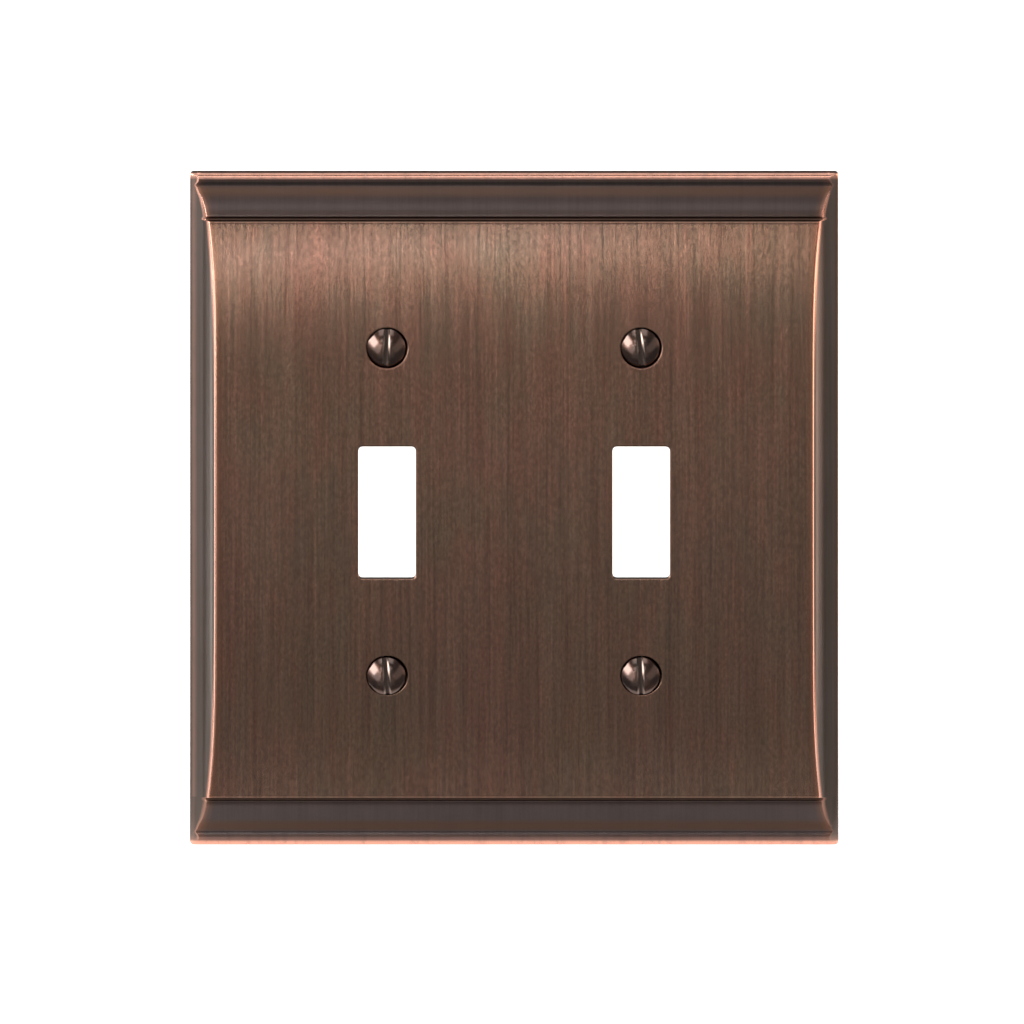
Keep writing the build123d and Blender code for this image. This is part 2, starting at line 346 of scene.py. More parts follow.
# ------------------------------------------------------------------------------------------------ mesh builder
class Builder:
    def __init__(self):
        self.co, self.attr, self.faces = [], [], []

    def vert(self, x, h, z, wear=0.0, painted_shade_and_patina=0.0, halo=0.0, flank=0.0, back=0.0):
        self.co.append((x, -h, z))
        self.attr.append((wear, painted_shade_and_patina, halo, flank, back))
        return len(self.co) - 1

    def grid(self, ids, skip=None, flip=False):
        a, b, c, d = ids[:-1, :-1], ids[:-1, 1:], ids[1:, 1:], ids[1:, :-1]
        mask = (a >= 0) & (b >= 0) & (c >= 0) & (d >= 0)
        if skip is not None:
            mask &= ~skip
        q = np.stack([a, b, c, d] if not flip else [a, d, c, b], -1)[mask]
        self.faces += q.tolist()

    def loop_strip(self, a, b, flip=False):
        n = len(a)
        for k in range(n):
            m = (k + 1) % n
            q = (a[k], a[m], b[m], b[k])
            self.faces.append(q if not flip else q[::-1])

    def finish(self, name, sharp=math.radians(38)):
        me = bpy.data.meshes.new(name)
        co = np.array(self.co) * MM
        me.from_pydata(co.tolist(), [], [tuple(int(v) for v in f) for f in self.faces])
        me.validate()
        for key, col in (("wear", 0), ("painted_shade_and_patina", 1), ("halo", 2), ("flank", 3), ("back", 4)):
            at = me.attributes.new(key, "FLOAT", "POINT")
            at.data.foreach_set("value", np.array(self.attr, np.float32)[:, col])
        me.update()
        # the brushing's tangent comes from the texture space: far behind, so that it runs along X all over the face
        me.use_auto_texspace = False
        me.texspace_location = (0.0, 10.0, 0.0)
        me.texspace_size = (1.0, 1.0, 1.0)
        me.set_sharp_from_angle(angle=sharp)
        me.polygons.foreach_set("use_smooth", [True] * len(me.polygons))
        ob = bpy.data.objects.new(name, me)
        bpy.context.scene.collection.objects.link(ob)
        return ob


def painted_shade_and_patina_at(x, z):
    """Darkening along the quirks and beside the crest's foot: partly dark patina, partly painted shade in these
    recesses.
    """
    d, e = HW - np.abs(x), np.abs(z)
    g = 0.0
    g = max(g, math.exp(-(((e - 53.28) / 0.30) ** 2)))
    g = max(g, 0.35 * math.exp(-(((e - 53.6) / 1.0) ** 2)) * (e > 53.2))
    g = max(g, 1.0 * math.exp(-(((e - 58.45) / (1.1 if e < 58.45 else 0.75)) ** 4)))
    return g


B = Builder()

# ---- front and back sheets
sq = {}
holes_rect = []
for name, (sx, sz) in SCREW_AT.items():
    holes_rect.append((sx - PATCH, sx + PATCH, sz - PATCH, sz + PATCH, "screw", name))
for gx in (-GANG_X, GANG_X):
    holes_rect.append((gx - OPEN_W, gx + OPEN_W, -OPEN_H, OPEN_H, "toggle", gx))


def cols_between(a, b):
    j = [k for k in range(NC) if n_side_cols <= k < NC - n_side_cols and a - 1e-6 <= core_x[k - n_side_cols] <= b + 1e-6]
    return j[0], j[-1]


def rows_between(a, b):
    i = [k for k in range(NR) if a - 1e-6 <= row_z[k] <= b + 1e-6]
    return i[0], i[-1]


inside_hole = np.zeros((NR, NC), bool)
cell_skip = np.zeros((NR - 1, NC - 1), bool)
rects = []
for x0, x1, z0, z1, kind, key in holes_rect:
    j0, j1 = cols_between(x0, x1)
    i0, i1 = rows_between(z0, z1)
    inside_hole[i0 + 1 : i1, j0 + 1 : j1] = True
    cell_skip[i0:i1, j0:j1] = True
    rects.append((i0, i1, j0, j1, kind, key))

fx, fz = corner(front_x, front_z)
bx, bz = corner(back_x, back_z)
front_id = np.full((NR, NC), -1)
back_id = np.full((NR, NC), -1)
for i in range(NR):
    for j in range(NC):
        if not inside_hole[i, j]:
            # painted shade: the last 0.7 mm at the right outline is darkened, the left is not
            front_id[i, j] = B.vert(fx[i, j], front_h[i, j], fz[i, j], wear[i, j], max(painted_shade_and_patina_at(front_x[i, j], front_z[i, j]) * (1 - flank[i, j]), 0.7 * max(0.0, 1 - (HW - front_x[i, j]) / 0.7)), halo[i, j], flank[i, j])
edge = set()
for i in range(NR):
    for j in range(NC):
        if inside_hole[i, j]:
            continue
        if i in (0, NR - 1) or j in (0, NC - 1):
            back_id[i, j] = B.vert(fx[i, j] if j in (0, NC - 1) or i in (0, NR - 1) else bx[i, j], 0.0, fz[i, j])
        else:
            back_id[i, j] = B.vert(bx[i, j], back_h[i, j], bz[i, j], back=1.0)
B.grid(front_id, cell_skip)
B.grid(back_id, cell_skip, flip=True)
ring = [(0, j) for j in range(NC)] + [(i, NC - 1) for i in range(1, NR)] + [(NR - 1, j) for j in range(NC - 2, -1, -1)] + [(i, 0) for i in range(NR - 2, 0, -1)]
B.loop_strip([back_id[i, j] for i, j in ring], [front_id[i, j] for i, j in ring])


def rect_ring(i0, i1, j0, j1):
    """Grid indices round a rectangle, from the low corner, anticlockwise as seen from the room."""
    return (
        [(i0, j) for j in range(j0, j1)]
        + [(i, j1) for i in range(i0, i1)]
        + [(i1, j) for j in range(j1, j0, -1)]
        + [(i, j0) for i in range(i1, i0, -1)]
    )


def face_at(z):
    return float(face_h(z))


def rings(loops, start, end, flip=False):
    """Strips from the loop of ids `start` through loops of (x, h, z, wear, painted_shade_and_patina) to the loop of
    ids `end`.
    """
    prev = start
    for loop in loops:
        ids = [B.vert(*p) for p in loop]
        B.loop_strip(prev, ids, flip)
        prev = ids
    if end is not None:
        B.loop_strip(prev, end, flip)
    return prev


for i0, i1, j0, j1, kind, key in rects:
    idx = rect_ring(i0, i1, j0, j1)
    outer = np.array([(front_x[i, j], front_z[i, j]) for i, j in idx])
    start = [front_id[i, j] for i, j in idx]
    end = [back_id[i, j] for i, j in idx]
    n = len(idx)
    loops = []
    if kind == "screw":
        cx, cz = SCREW_AT[key]
        a0 = math.atan2(outer[0][1] - cz, outer[0][0] - cx)
        ang = a0 + np.arange(n) * 2 * math.pi / n
        cone_h = lambda r: CONE_FOOT + (r - NECK_R - SEAT_GAP) / math.tan(HALF_CONE)
        rim = []
        for a in ang:
            r = COUNTERBORE_R
            for _ in range(30):
                if cone_h(r) > face_at(cz + r * math.sin(a)) - 0.02:
                    r -= 0.01
                else:
                    break
            rim.append(r)
        rim = np.array(rim)
        rim = np.array([np.mean(np.take(rim, range(k - 2, k + 3), mode="wrap")) for k in range(n)])
        circle = lambda r: np.stack([cx + r * np.cos(ang), cz + r * np.sin(ang)], -1)
        for f in (0.22, 0.45, 0.68, 0.88):
            q = outer * (1 - f) + circle(rim + 0.16) * f
            loops.append([(x, face_at(z), z, 0.0, 0.0) for x, z in q])
        # painted shade: the hole's rounded rim, countersink and bore are darkened (each point's last value)
        for out, drop, wr in ((0.16, 0.0, 0.0), (0.085, 0.010, 0.03), (0.035, 0.035, 0.06), (0.0, 0.085, 0.03)):
            q = circle(rim + out)
            loops.append([(x, face_at(z) - drop, z, wr, 0.1 + 5.5 * drop) for x, z in q])
        low = np.minimum(np.array([face_at(z) for x, z in circle(rim)]) - 0.10, np.maximum(cone_h(rim), 0))
        q = circle(rim)
        loops.append([(x, min(h, face_at(z) - 0.11), z, 0.0, 1.0) for (x, z), h in zip(q, low)])
        q = circle(rim - 0.04)
        loops.append([(x, h - 0.06, z, 0.0, 1.0) for (x, z), h in zip(q, low)])
        for r in (3.2, 2.6, BORE_R + 0.1):
            loops.append([(x, cone_h(r), z, 0.0, 0.6) for x, z in circle(r)])
        loops.append([(x, cone_h(BORE_R) - 0.08, z, 0.0, 0.6) for x, z in circle(BORE_R)])
        loops.append([(x, BOSS_END_H + 0.12, z, 0.0, 0.3) for x, z in circle(BORE_R)])
        loops.append([(x, BOSS_END_H, z, 0.0, 0.0) for x, z in circle(BORE_R + 0.12)])
        loops.append([(x, BOSS_END_H, z, 0.0, 0.0) for x, z in circle(3.3)])
        loops.append([(x, BOSS_END_H, z, 0.0, 0.0) for x, z in circle(BOSS_R - 0.3)])
        loops.append([(x, BOSS_END_H + 0.08, z, 0.0, 0.0) for x, z in circle(BOSS_R - 0.09)])
        loops.append([(x, BOSS_END_H + 0.28, z, 0.0, 0.0) for x, z in circle(BOSS_R)])
        loops.append([(x, face_at(z) - SKIN - 0.15, z, 0.0, 0.0) for x, z in circle(BOSS_R + 0.05)])
        loops.append([(x, face_at(z) - SKIN - 0.03, z, 0.0, 0.0) for x, z in circle(BOSS_R + 0.13)])
    else:
        gx = key
        a, b, rr = TOGGLE_W / 2, TOGGLE_H / 2, TOGGLE_R
        nx, nz = (j1 - j0), (i1 - i0)

        def side_points(n_side, half, start_c, along, normal):
            """Points of one side with half of each corner's arc, with their outward normals."""
            k = 4
            pts = []
            for m in range(n_side):
                if m < k:
                    t = math.radians(45 * (1 - m / k))
                    c = start_c + along * rr
                    nn = normal * math.cos(t) - along * math.sin(t)
                    pts.append((c - normal * rr + nn * rr, nn))
                elif m > n_side - k:
                    t = math.radians(45 * (m - (n_side - k)) / k)
                    c = start_c + along * (2 * half - rr)
                    nn = normal * math.cos(t) + along * math.sin(t)
                    pts.append((c - normal * rr + nn * rr, nn))
                else:
                    s = rr + (2 * half - 2 * rr) * (m - k) / (n_side - 2 * k)
                    pts.append((start_c + along * s, normal))
            return pts

        v = lambda x, z: np.array([x, z], float)
        pts = (
            side_points(nx, a, v(-a, -b), v(1, 0), v(0, -1))
            + side_points(nz, b, v(a, -b), v(0, 1), v(1, 0))
            + side_points(nx, a, v(a, b), v(-1, 0), v(0, 1))
            + side_points(nz, b, v(-a, b), v(0, -1), v(-1, 0))
        )
        base = np.array([p for p, nn in pts]) + [gx, 0]
        norm = np.array([nn for p, nn in pts])
        for f in (0.2, 0.42, 0.62, 0.8, 0.93):
            q = outer * (1 - f) + (base + norm * 0.30) * f
            loops.append([(x, face_at(z), z, 0.0, 0.0) for x, z in q])
        for out, drop, wr in ((0.30, 0.0, 0.0), (0.19, 0.012, 0.04), (0.09, 0.05, 0.10), (0.028, 0.13, 0.10), (0.0, 0.26, 0.05)):
            q = base + norm * out
            loops.append([(x, face_at(z) - drop, z, wr, 0.0) for x, z in q])
        # painted shade: the openings' inner walls are darkened a little (each point's last value)
        loops.append([(x, face_at(z) - 0.9, z, 0.1, 0.2) for x, z in base])
        loops.append([(x, face_at(z) - SKIN + 0.12, z, 0.0, 0.2) for x, z in base])
        for out, rise in ((0.04, 0.03), (0.14, 0.0)):
            loops.append([(x, face_at(z) - SKIN + rise, z, 0.0, 0.0) for x, z in base + norm * out])
        for f in (0.75, 0.35):
            q = outer * (1 - f) + (base + norm * 0.30) * f
            loops.append([(x, face_at(z) - SKIN, z, 0.0, 0.0) for x, z in q])
    rings(loops, start, end)

for k, (x, y, z) in enumerate(B.co):
    if abs(x) < 50 and abs(z) < 48 and -y < face_at(z) - SKIN + 0.2 and min(math.hypot(abs(x) - GANG_X, abs(z) - SCREW_Z), 9) > BORE_R + 0.05:
        B.attr[k] = (*B.attr[k][:4], 1.0)
plate = B.finish("cover_face")
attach(plate, "cover")
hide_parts("cover_plate")


# ------------------------------------------------------------------------------------------------ screws
def build_screw(label, cx, cz, lean):
    S = Builder()
    floor_h = DOME_TOP - SLOT_DEPTH
    R = HEAD_R - 0.16
    dome_r = (R**2 + DOME**2) / (2 * DOME)
    dome = lambda r: DOME_TOP - dome_r + math.sqrt(max(0, dome_r**2 - r * r))
    # columns across the slot: (x, height rule)
    right = [(0.24, "floor"), (0.31, "floor1"), (0.335, "wall0"), (0.35, "wall1"), (0.50, "edge1"), (0.66, "edge2"), (0.76, "dome")]
    a_max = 0.93 * R
    more = [(x, "dome") for x in np.linspace(0.76, a_max, 12)[1:]]
    right += more
    cols = [(-x, k) for x, k in reversed(right)] + [(-0.12, "floor"), (0.0, "floor"), (0.12, "floor")] + right
    nrow = 26
    bs = np.linspace(-1, 1, nrow)
    bs = np.sin(bs * math.pi / 2 * 0.86) / math.sin(math.pi / 2 * 0.86)
    r_floor = R - HEAD_LAND * 0 - (HEAD_EDGE_H - HEAD_LAND - floor_h) * math.tan(HALF_CONE)
    ids = np.full((nrow, len(cols)), -1)
    rule = {}
    for j, (x, kind) in enumerate(cols):
        ax = abs(x)
        rad = r_floor if kind in ("floor", "floor1", "wall0") else R
        zc = math.sqrt(rad**2 - ax**2)
        for i, b in enumerate(bs):
            z = b * zc
            xx = x
            if ax > 2.0:
                u = ((ax - 2.0) / (a_max - 2.0)) ** 1.5
                xx = math.copysign(ax + u * (math.sqrt(R * R - z * z) - a_max), x)
            r = math.hypot(xx, z)
            wr = 0.0
            gr = 0.0
            # painted shade: the slot's floor and the foot of its walls are darkened (gr), the upper walls a little
            if kind == "floor":
                h = floor_h
                gr = 1.0
            elif kind == "floor1":
                h = floor_h + 0.03
                gr = 1.0
            elif kind == "wall0":
                h = floor_h + 0.12
                gr = 1.0
            elif kind == "wall1":
                h = dome(r) - 0.20
                gr = 0.2
                wr = 0.25
            elif kind == "edge1":
                h = dome(r) - 0.11
                wr = 0.35
            elif kind == "edge2":
                h = dome(r) - 0.028
                wr = 0.3
            else:
                h = dome(r)
            ids[i, j] = S.vert(xx, h, z, wr, gr)
            rule[ids[i, j]] = (kind, xx, z, h)
    S.grid(ids)
    nrw, ncl = ids.shape
    edge = (
        [ids[0, j] for j in range(ncl)]
        + [ids[i, -1] for i in range(1, nrw)]
        + [ids[-1, j] for j in range(ncl - 2, -1, -1)]
        + [ids[i, 0] for i in range(nrw - 2, 0, -1)]
    )
    n = len(edge)
    ang0 = np.array([math.atan2(rule[v][2], rule[v][1]) for v in edge])
    ang0 = np.unwrap(ang0)
    kinds = [rule[v][0] for v in edge]
    low = np.array([k in ("floor", "floor1", "wall0") for k in kinds])
    # keep angles strictly increasing where slot columns stand over each other
    for k in range(1, n):
        if ang0[k] <= ang0[k - 1]:
            ang0[k] = ang0[k - 1] + 1e-4
    even = ang0[0] + np.arange(n) * 2 * math.pi / n
    loops = []
    foot = HEAD_EDGE_H - HEAD_LAND

    def circle(r, h, mix, gr=0.0):
        a = ang0 * (1 - mix) + even * mix
        rr = np.broadcast_to(r, (n,))
        hh = np.broadcast_to(h, (n,))
        return [(rr[k] * math.cos(a[k]), hh[k], rr[k] * math.sin(a[k]), 0.0, gr) for k in range(n)]

    land_r = np.where(low, r_floor - 0.01, R)
    # painted shade: the cone under the head is darkened (the last value of circle)
    loops.append(circle(np.where(low, r_floor - 0.006, R), np.where(low, floor_h - 0.006, foot + 0.05), 0))
    loops.append(circle(np.where(low, r_floor - 0.02, R - 0.02), np.where(low, floor_h - 0.022, foot - 0.0), 0, 0.5))
    h1 = floor_h - 0.12
    loops.append(circle(R - (foot - h1) * math.tan(HALF_CONE), h1, 0.0, 0.8))
    for f in (0.3, 0.65, 0.95):
        hh = h1 + (CONE_FOOT - h1) * f
        loops.append(circle(max(NECK_R, R - (foot - hh) * math.tan(HALF_CONE)), hh, f, 0.8))
    loops.append(circle(NECK_R, CONE_FOOT - 0.08, 1.0))
    loops.append(circle(NECK_R, THREAD_START_H + 0.30, 1.0))
    root = 1.22
    step = PITCH / 10
    hs = np.arange(THREAD_START_H + 0.22, TIP_H + 0.05, -step)
    theta = even
    for h in hs:
        phase = (h / PITCH + theta / (2 * math.pi)) % 1.0
        tri = 1 - np.abs(2 * phase - 1)
        prof = np.clip((tri - 0.12) / 0.76, 0, 1)
        rad = root + (THREAD_R - 0.004 - root) * prof
        fade_in = np.clip((THREAD_START_H + 0.22 - h) / 0.8, 0, 1)
        rad = NECK_R + (rad - NECK_R) * fade_in
        cap = THREAD_R - 0.45 + (h - TIP_H)
        rad = np.minimum(rad, np.maximum(cap, root - 0.02))
        loops.append(circle(rad, h, 1.0, 0.0))
        last = h
    loops.append(circle(root - 0.08, TIP_H, 1.0))
    loops.append(circle(0.75, TIP_H, 1.0))
    loops.append(circle(0.3, TIP_H, 1.0))
    prev = edge
    for loop in loops:
        vid = [S.vert(*p) for p in loop]
        S.loop_strip(prev, vid, flip=True)
        prev = vid
    c = S.vert(0, TIP_H, 0)
    for k in range(n):
        S.faces.append((prev[(k + 1) % n], prev[k], c))
    a = math.radians(lean)
    co = np.array(S.co)
    x, z = co[:, 0].copy(), co[:, 2].copy()
    co[:, 0] = x * math.cos(a) + z * math.sin(a) + cx - 0.12 * (co[:, 1] < -(CONE_FOOT + 0.1))
    co[:, 2] = -x * math.sin(a) + z * math.cos(a) + cz
    S.co = co.tolist()
    ob = S.finish("screw_" + label + "_oval_head", math.radians(40))
    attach(ob, "screw_" + label)
    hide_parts("screw_" + label)
    return ob


screws = {k: build_screw(k, *SCREW_AT[k], SLOT_ANGLES[k]) for k in SLOT_ANGLES}


# ------------------------------------------------------------------------------------------------ materials
def srgb(r, g, b):
    f = lambda c: c / 12.92 if c <= 0.04045 else ((c + 0.055) / 1.055) ** 2.4
    return (f(r / 255), f(g / 255), f(b / 255), 1.0)


class Nodes:
    def __init__(self, name):
        self.mat = bpy.data.materials.new(name)
        self.mat.use_nodes = True
        self.nt = self.mat.node_tree
        self.bsdf = self.nt.nodes["Principled BSDF"]

    def add(self, kind, inputs=None, **props):
        n = self.nt.nodes.new(kind)
        for k, v in props.items():
            setattr(n, k, v)
        for k, v in (inputs or {}).items():
            if isinstance(v, bpy.types.NodeSocket):
                self.nt.links.new(v, n.inputs[k])
            else:
                n.inputs[k].default_value = v
        return n

    def link(self, out, sock):
        self.nt.links.new(out, self.bsdf.inputs[sock])

    def coords(self, scale, offset=(0, 0, 0)):
        tc = self.add("ShaderNodeTexCoord")
        m = self.add("ShaderNodeMapping", {"Vector": tc.outputs["Object"], "Scale": scale, "Location": offset})
        return m.outputs["Vector"]

    def noise(self, scale, detail=3.0, rough=0.5, offset=(0, 0, 0)):
        n = self.add("ShaderNodeTexNoise", {"Vector": self.coords(scale, offset), "Scale": 1.0, "Detail": detail, "Roughness": rough})
        return n.outputs["Fac"]

    def remap(self, value, a, b, c, d):
        n = self.add("ShaderNodeMapRange", {"Value": value, "From Min": a, "From Max": b, "To Min": c, "To Max": d}, clamp=True)
        return n.outputs["Result"]

    def math(self, op, a, b=0.0, c=0.0):
        n = self.add("ShaderNodeMath", {0: a, 1: b, 2: c}, operation=op)
        return n.outputs[0]

    def mix(self, fac, a, b, blend="MIX"):
        n = self.add("ShaderNodeMix", data_type="RGBA", blend_type=blend)
        for sock, v in ((n.inputs[0], fac), (n.inputs[6], a), (n.inputs[7], b)):
            if isinstance(v, bpy.types.NodeSocket):
                self.nt.links.new(v, sock)
            else:
                sock.default_value = v
        return n.outputs[2]

    def attribute(self, name):
        return self.add("ShaderNodeAttribute", attribute_name=name, attribute_type="GEOMETRY").outputs["Fac"]


def plate_material():
    m = Nodes("bronze_plate_finish")
    b = m.bsdf
    wear_a, painted_shade_and_patina_a = m.attribute("wear"), m.attribute("painted_shade_and_patina")
    xyz = m.add("ShaderNodeSeparateXYZ", {"Vector": m.add("ShaderNodeTexCoord").outputs["Object"]})
    ax = m.math("ABSOLUTE", xyz.outputs["X"])
    az = m.math("ABSOLUTE", xyz.outputs["Z"])
    # the brushed face, against the darker, unbrushed bands and coves
    in_z = m.remap(az, 0.05290, 0.05315, 1.0, 0.0)
    face = in_z
    # brush marks: long in Z, fine in X
    fine = m.noise((2700.0, 300.0, 44.0), 4.0, 0.7)
    coarse = m.noise((1250.0, 150.0, 20.0), 3.0, 0.6, (3.1, 0, 7.7))
    broad = m.noise((240.0, 60.0, 9.0), 3.0, 0.5, (9.1, 0, 1.3))
    mottle = m.noise((95.0, 60.0, 70.0), 4.0, 0.6, (1.7, 4.2, 8.8))
    mottle2 = m.noise((38.0, 60.0, 30.0), 3.0, 0.55, (5.7, 2.2, 3.8))
    base = m.mix(m.remap(mottle, 0.35, 0.65, 0.0, 1.0), srgb(121, 91, 75), srgb(114, 92, 76))
    base = m.mix(m.remap(mottle2, 0.42, 0.68, 0.0, 0.5), base, srgb(127, 88, 75))
    streak = m.math("ADD", m.math("MULTIPLY", fine, 0.50), m.math("ADD", m.math("MULTIPLY", coarse, 0.40), m.math("MULTIPLY", broad, 0.10)))
    gain = m.remap(streak, 0.34, 0.66, 0.69, 1.33)
    # a short speckle over the marks
    grain = m.noise((2500.0, 300.0, 1300.0), 2.0, 0.5, (4.4, 7.3, 0.9))
    gain = m.math("MULTIPLY", gain, m.remap(grain, 0.35, 0.65, 0.85, 1.15))
    tint = m.noise((520.0, 120.0, 60.0), 5.0, 0.65, (6.3, 1.1, 2.9))
    base = m.mix(m.remap(tint, 0.50, 0.68, 0.0, 0.26), base, srgb(136, 87, 72))
    base = m.mix(m.remap(tint, 0.48, 0.32, 0.0, 0.24), base, srgb(106, 93, 78))
    face_col = m.mix(1.0, base, m.add("ShaderNodeCombineColor", {"Red": gain, "Green": gain, "Blue": gain}).outputs["Color"], "MULTIPLY")
    dark = m.mix(m.remap(mottle, 0.3, 0.7, 0.0, 1.0), srgb(59, 50, 48), srgb(67, 56, 54))
    dgain = m.remap(streak, 0.36, 0.64, 0.90, 1.10)
    dark = m.mix(1.0, dark, m.add("ShaderNodeCombineColor", {"Red": dgain, "Green": dgain, "Blue": dgain}).outputs["Color"], "MULTIPLY")
    flank = m.mix(m.remap(mottle, 0.3, 0.7, 0.0, 1.0), srgb(92, 80, 72), srgb(98, 86, 80))
    flank = m.mix(1.0, flank, m.add("ShaderNodeCombineColor", {"Red": dgain, "Green": dgain, "Blue": dgain}).outputs["Color"], "MULTIPLY")
    dark = m.mix(m.remap(m.attribute("flank"), 0.4, 0.6, 0.0, 1.0), dark, flank)
    face = m.math("MULTIPLY", face, m.math("SUBTRACT", 1.0, m.attribute("flank")))
    col = m.mix(face, dark, face_col)
    # darker where the shade attribute says: dark patina and painted shade in the quirks, painted shade along the right
    # outline, round the screw holes and inside the openings
    g = m.math("MULTIPLY", painted_shade_and_patina_a, m.remap(mottle, 0.3, 0.7, 0.80, 1.0))
    col = m.mix(m.math("MULTIPLY", g, 0.85), col, srgb(78, 58, 47))
    # copper showing through along the crest and the lips
    nick = m.noise((700.0, 500.0, 260.0), 4.0, 0.6, (2.2, 6.1, 0.4))
    lip = m.math("MULTIPLY", m.remap(az, 0.0604, 0.0611, 0.06, 1.0), m.remap(az, 0.06140, 0.06165, 1.0, 0.35))
    lip = m.math("MULTIPLY", lip, m.math("GREATER_THAN", az, 0.0600))
    # bottom lip: copper wear at its lower edge, plus a painted highlight that brightens its flat towards that edge
    lip_low = m.math("ADD", m.remap(xyz.outputs["Z"], -0.0613, -0.0609, 0.70, 0.0), m.remap(xyz.outputs["Z"], -0.0611, -0.0598, 0.25, 0.0))
    lip_top = m.math("MULTIPLY", m.math("GREATER_THAN", xyz.outputs["Z"], 0.0), m.math("MULTIPLY", lip, 0.9))
    wear = m.math("MAXIMUM", wear_a, m.math("MAXIMUM", lip_top, lip_low))
    wear = m.math("MULTIPLY", wear, m.remap(nick, 0.30, 0.52, 0.78, 1.0))
    col = m.mix(m.math("MULTIPLY", m.attribute("halo"), m.remap(nick, 0.25, 0.6, 0.75, 1.0)), col, srgb(130, 87, 64))
    col = m.mix(wear, col, srgb(228, 168, 146))
    hidden = m.attribute("back")
    raw = m.mix(m.remap(mottle, 0.3, 0.7, 0.0, 1.0), srgb(112, 104, 98), srgb(130, 120, 112))
    raw = m.mix(m.remap(mottle2, 0.5, 0.72, 0.0, 0.5), raw, srgb(96, 78, 66))
    col = m.mix(hidden, col, raw)
    m.link(col, "Base Color")
    b.inputs["Metallic"].default_value = 1.0
    rough = m.math("ADD", m.remap(streak, 0.36, 0.64, 0.238, 0.226), m.remap(broad, 0.35, 0.65, -0.012, 0.012))
    rough = m.math("ADD", rough, m.math("MULTIPLY", m.math("SUBTRACT", 1.0, face), 0.10))
    rough = m.math("SUBTRACT", rough, m.math("MULTIPLY", wear, 0.08))
    rough = m.math("ADD", rough, m.math("MULTIPLY", hidden, 0.25))
    m.link(rough, "Roughness")
    b.inputs["Anisotropic"].default_value = 0.95
    b.inputs["Anisotropic Rotation"].default_value = 0.0
    clean = m.math("MULTIPLY", m.math("SUBTRACT", 1.0, m.math("MULTIPLY", g, 0.95)), m.math("SUBTRACT", 1.0, m.math("MULTIPLY", hidden, 0.8)))
    m.link(m.math("MULTIPLY", clean, 0.35), "Coat Weight")
    b.inputs["Coat Roughness"].default_value = 0.14
    height = m.math("ADD", m.math("MULTIPLY", fine, 0.6), m.math("MULTIPLY", coarse, 0.4))
    height = m.math("MULTIPLY", height, m.math("ADD", m.math("MULTIPLY", face, 0.8), 0.2))
    bump = m.add("ShaderNodeBump", {"Height": height, "Strength": 0.10, "Distance": 0.00004})
    m.link(bump.outputs["Normal"], "Normal")
    return m.mat


def screw_material():
    m = Nodes("bronze_screw_finish")
    b = m.bsdf
    wear_a, painted_shade_and_patina_a = m.attribute("wear"), m.attribute("painted_shade_and_patina")
    mottle = m.noise((420.0, 420.0, 420.0), 4.0, 0.6)
    fine = m.noise((2600.0, 2600.0, 2600.0), 3.0, 0.6, (2.0, 1.0, 5.0))
    col = m.mix(m.remap(mottle, 0.35, 0.65, 0.0, 1.0), srgb(76, 53, 43), srgb(97, 63, 47))
    # painted shade in the slot and under the head
    col = m.mix(m.math("MULTIPLY", painted_shade_and_patina_a, 0.85), col, srgb(66, 42, 27))
    worn = m.math("MULTIPLY", wear_a, m.remap(fine, 0.35, 0.6, 0.5, 1.0))
    col = m.mix(m.math("MULTIPLY", worn, 0.8), col, srgb(190, 170, 155))
    m.link(col, "Base Color")
    b.inputs["Metallic"].default_value = 1.0
    b.inputs["Coat Weight"].default_value = 1.0
    b.inputs["Coat IOR"].default_value = 1.62
    b.inputs["Coat Roughness"].default_value = 0.16
    m.link(m.remap(mottle, 0.35, 0.65, 0.20, 0.27), "Roughness")
    bump = m.add("ShaderNodeBump", {"Height": m.math("ADD", m.math("MULTIPLY", mottle, 0.6), m.math("MULTIPLY", fine, 0.25)), "Strength": 0.12, "Distance": 0.00006})
    m.link(bump.outputs["Normal"], "Normal")
    return m.mat


plate.data.materials.append(plate_material())
screw_mat = screw_material()
for ob in screws.values():
    ob.data.materials.append(screw_mat)


# ------------------------------------------------------------------------------------------------ stage
def floor_material():
    m = Nodes("studio_floor")
    n = m.noise((3.0, 3.0, 3.0), 2.0, 0.5)
    m.link(m.mix(n, (0.88, 0.88, 0.88, 1), (0.90, 0.90, 0.90, 1)), "Base Color")
    m.bsdf.inputs["Roughness"].default_value = 0.9
    m.bsdf.inputs["Specular IOR Level"].default_value = 0.0
    m.bsdf.inputs["Emission Color"].default_value = (1, 1, 1, 1)
    m.bsdf.inputs["Emission Strength"].default_value = 0.62
    return m.mat


def sheet(name, prof, material, in_reflections):
    xs = np.linspace(-1.6, 1.6, 9)
    verts = [(x, y, z) for y, z in prof for x in xs]
    nx = len(xs)
    faces = [(i * nx + j, i * nx + j + 1, (i + 1) * nx + j + 1, (i + 1) * nx + j) for i in range(len(prof) - 1) for j in range(nx - 1)]
    me = bpy.data.meshes.new(name)
    me.from_pydata(verts, [], faces)
    me.update()
    me.polygons.foreach_set("use_smooth", [True] * len(me.polygons))
    ob = bpy.data.objects.new(name, me)
    bpy.context.scene.collection.objects.link(ob)
    me.materials.append(material)
    ob.visible_glossy = in_reflections
    ob.visible_shadow = False
    return ob


def seamless_floor():
    """A white sweep: only the strip right under the plate shows in the metal."""
    z0 = CAD_LOW.z
    white = floor_material()
    sheet("studio_floor", [(-1.2, z0), (-0.5, z0), (NEAR_FLOOR[0], z0)], white, False)
    sheet("studio_floor_near", [(NEAR_FLOOR[0], z0), (NEAR_FLOOR[1], z0)], white, True)
    prof = [(NEAR_FLOOR[1], z0), (0.5, z0)]
    for k in range(1, 25):
        a = math.pi / 2 * k / 24
        prof.append((0.5 + 0.5 * math.sin(a), z0 + 0.5 * (1 - math.cos(a))))
    prof.append((1.0, z0 + 2.0))
    sheet("studio_sweep", prof, white, False)


NEAR_FLOOR = (-0.016, 0.05)
seamless_floor()


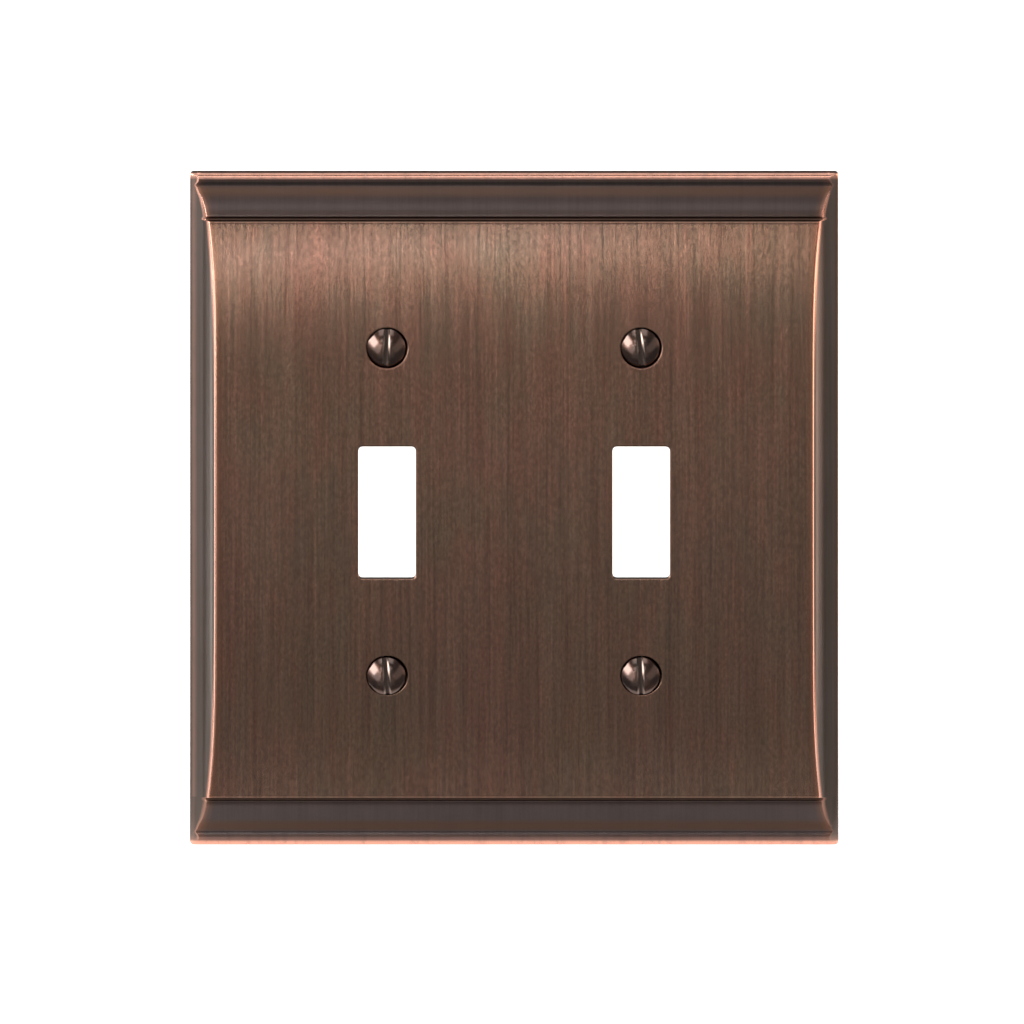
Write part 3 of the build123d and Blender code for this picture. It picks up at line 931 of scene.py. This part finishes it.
def area(name, azimuth, elevation, distance, width, height, watts, colour=(1, 1, 1), target=(0, 0, 0)):
    """A soft rectangular light. Azimuth 0 is in front of the plate, negative to its left, as the camera sees it."""
    a, e = math.radians(azimuth), math.radians(elevation)
    direction = Vector((math.sin(a) * math.cos(e), -math.cos(a) * math.cos(e), math.sin(e)))
    data = bpy.data.lights.new(name, "AREA")
    data.shape = "RECTANGLE"
    data.size, data.size_y = width, height
    data.energy = watts
    data.color = colour
    ob = bpy.data.objects.new(name, data)
    bpy.context.scene.collection.objects.link(ob)
    ob.location = Vector(target) + direction * distance
    ob.rotation_mode = "QUATERNION"
    ob.rotation_quaternion = (-direction).to_track_quat("-Z", "Z")
    ob.visible_camera = False
    return ob


def soft_box(name, azimuth, elevation, wide, tall, radiance, distance=1.5, target=(0, 0, 0), colour=(1, 1, 1)):
    """A soft light by the angles that it fills as seen from the plate, in degrees, and its brightness."""
    w = 2 * distance * math.tan(math.radians(wide / 2))
    h = 2 * distance * math.tan(math.radians(tall / 2))
    return area(name, azimuth, elevation, distance, w, h, math.pi * w * h * radiance, colour, target)


soft_box("box_rear_left", -126, 4, 50, 66, 3.8)
soft_box("box_left", -46, 4, 32, 62, 1.25)
soft_box("box_key", -51, 14, 26, 34, 7.2)
soft_box("box_right", 105, 4, 30, 66, 4.0, colour=(1.0, 0.76, 0.64))
soft_box("box_right_front", 50, 4, 26, 60, 0.42, colour=(1.0, 0.92, 0.84))
soft_box("card_low", -3, -14, 56, 34, 0.20)
soft_box("card_under", -3, -36, 56, 22, 0.17)
soft_box("strip_front", -13, 2.15, 32, 1.3, 9.6, 0.6, (0, 0, 0.047))
soft_box("box_front", -3, 7.5, 56, 3.0, 0.45)
soft_box("box_high", -3, 20, 40, 10, 2.0)
soft_box("box_top", -3, 55, 50, 30, 1.5)

world = bpy.data.worlds.new("studio_world")
bpy.context.scene.world = world
world.use_nodes = True
bg = world.node_tree.nodes["Background"]
bg.inputs["Color"].default_value = (1.0, 1.0, 1.0, 1)
bg.inputs["Strength"].default_value = 0.15

# ------------------------------------------------------------------------------------------------ camera
ELEV = math.radians(9.8)
SCALE = 1024 / 5.5205  # millimetres across the frame
cam_data = bpy.data.cameras.new("camera")
cam_data.type = "ORTHO"
cam_data.ortho_scale = SCALE * MM
cam = bpy.data.objects.new("camera", cam_data)
bpy.context.scene.collection.objects.link(cam)
# the wall-plane centre of the plate falls a little left of and above the frame's centre
right = Vector((1, 0, 0))
up = Vector((0, math.sin(ELEV), math.cos(ELEV)))
back = Vector((0, -math.cos(ELEV), math.sin(ELEV)))
aim = right * ((512 - 514.1) / 5.5205 * MM) + up * ((507.42 - 512) / 5.5205 * MM)
cam.location = aim + back * 1.0
cam.rotation_mode = "QUATERNION"
cam.rotation_quaternion = back.to_track_quat("Z", "Y")
cam_data.clip_start, cam_data.clip_end = 0.05, 10.0
bpy.context.scene.camera = cam

bpy.context.scene.view_settings.view_transform = "Standard"
bpy.context.scene.view_settings.look = "None"
